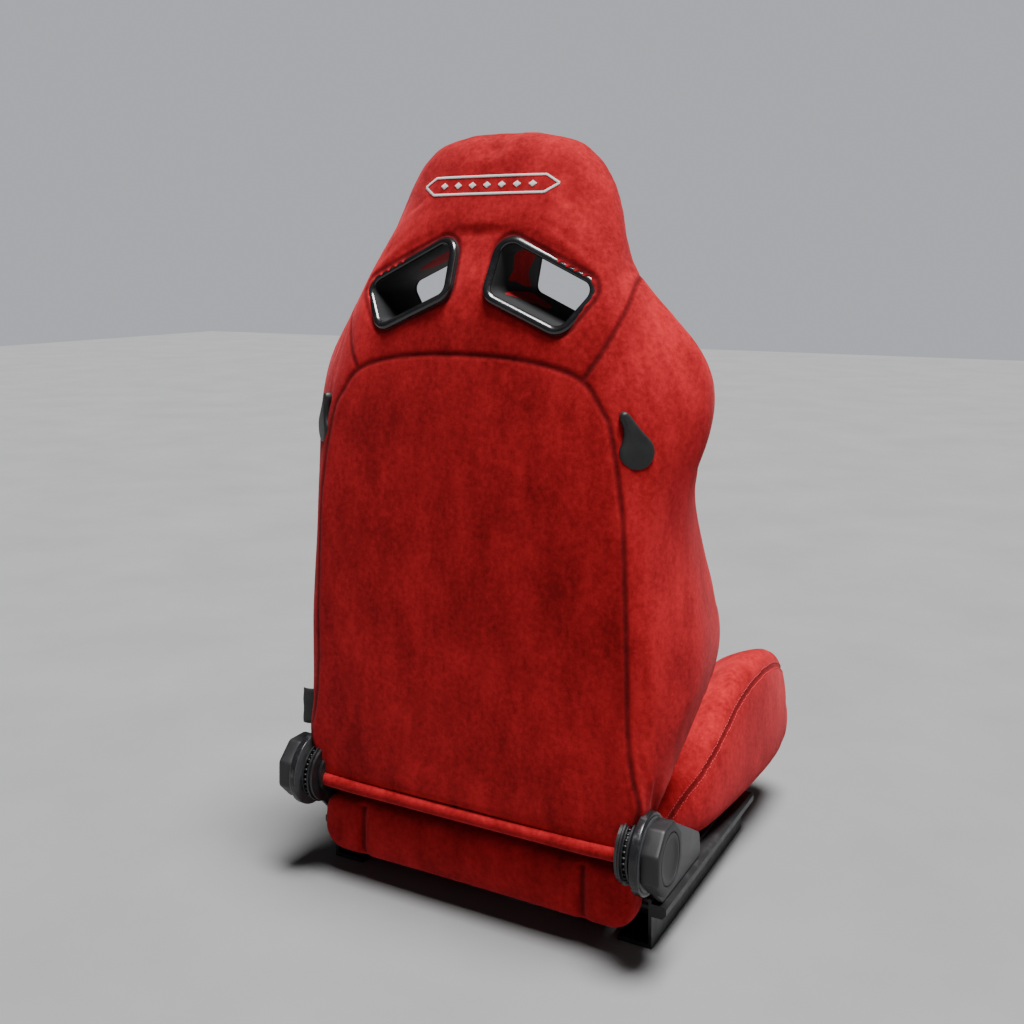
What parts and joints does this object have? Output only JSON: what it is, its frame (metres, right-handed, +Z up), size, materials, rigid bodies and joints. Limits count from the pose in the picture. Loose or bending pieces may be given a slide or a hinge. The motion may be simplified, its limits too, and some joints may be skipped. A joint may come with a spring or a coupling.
{
  "type": "racing seat",
  "caption": "Reclining sport bucket seat in red suede with harness slots, side bolsters, dial recliners and shoulder fold levers.",
  "frame": {"origin": "middle of the four floor bolts, on the plane the rails stand on", "axes": "+Z up, the sitter faces -Y, +X is the sitter's left"},
  "size_m": [0.5508, 0.56, 0.968],
  "materials": {
    "suede": "napped synthetic suede",
    "frame_steel": "satin black powder coat",
    "bright_steel": "plain drawn wire and bar",
    "recliner_steel": "black phosphate",
    "cover_plastic": "fine grained satin",
    "dial_plastic": "fine grained matte",
    "slot_plastic": "gloss",
    "cable_sheath": "plain",
    "tag_fabric": "woven"
  },
  "bodies": {
    "base": {"side_rail_left": "frame_steel", "side_rail_right": "frame_steel", "front_crossmember": "frame_steel", "rear_crossmember": "frame_steel", "seat_pan": "frame_steel", "cushion_springs": "bright_steel", "cushion_pad": "suede", "cushion_bolster_left": "suede", "cushion_bolster_right": "suede", "cushion_front": "suede", "cushion_skirt": "suede", "recliner_plate_left": "frame_steel", "recliner_plate_right": "frame_steel", "recliner_gear_left": "recliner_steel", "recliner_gear_right": "recliner_steel", "spiral_spring_left": "recliner_steel", "spiral_spring_right": "recliner_steel", "recliner_cover_left": "cover_plastic", "recliner_cover_right": "cover_plastic", "rail_bolts": "bright_steel"},
    "recliner_arms": {"fold_sector_left": "frame_steel", "fold_sector_right": "frame_steel"},
    "dials": {"sync_shaft": "bright_steel", "dial_left": "dial_plastic", "dial_right": "dial_plastic", "dial_cap_left": "dial_plastic", "dial_cap_right": "dial_plastic"},
    "backrest": {"back_hoop": "frame_steel", "hinge_plate_left": "frame_steel", "hinge_plate_right": "frame_steel", "lower_crossbar": "frame_steel", "upper_crossbar": "frame_steel", "head_frame": "frame_steel", "back_springs": "bright_steel", "back_panel": "suede", "back_hem": "suede", "back_pad": "suede", "back_bolster_left": "suede", "back_bolster_right": "suede", "shoulder_wing_left": "suede", "shoulder_wing_right": "suede", "head_pad": "suede", "slot_block": "suede", "slot_liner_left": "slot_plastic", "slot_liner_right": "slot_plastic", "slot_ring_left": "slot_plastic", "slot_ring_right": "slot_plastic", "lever_base_left": "dial_plastic", "lever_base_right": "dial_plastic", "release_cable_left": "cable_sheath", "release_cable_right": "cable_sheath", "side_tag": "tag_fabric"},
    "lever_left": {"lever_left": "dial_plastic"},
    "lever_right": {"lever_right": "dial_plastic"}
  },
  "joints": [
    {"name": "recline", "type": "hinge", "parent": "base", "child": "recliner_arms", "pos_m": [0, 0.203, 0.131], "axis": [1, 0, 0], "range_deg": [-60, 0]},
    {"name": "dial_turn", "type": "hinge", "parent": "base", "child": "dials", "pos_m": [0, 0.203, 0.131], "axis": [1, 0, 0], "range_deg": [-1440, 0]},
    {"name": "fold", "type": "hinge", "parent": "recliner_arms", "child": "backrest", "pos_m": [0, 0.203, 0.131], "axis": [1, 0, 0], "range_deg": [0, 26]},
    {"name": "lever_left_turn", "type": "hinge", "parent": "backrest", "child": "lever_left", "pos_m": [0.223, 0.198, 0.584], "axis": [0.6428, 0.766, 0], "range_deg": [0, 35], "stiffness_Nm_per_rad": 0.3, "springref_deg": -11.46},
    {"name": "lever_right_turn", "type": "hinge", "parent": "backrest", "child": "lever_right", "pos_m": [-0.223, 0.198, 0.584], "axis": [-0.6428, 0.766, 0], "range_deg": [-35, 0], "stiffness_Nm_per_rad": 0.3, "springref_deg": 11.46}
  ],
  "couplings": [
    {"joint": "dial_turn", "follows": "recline", "ratio": 24}
  ]
}
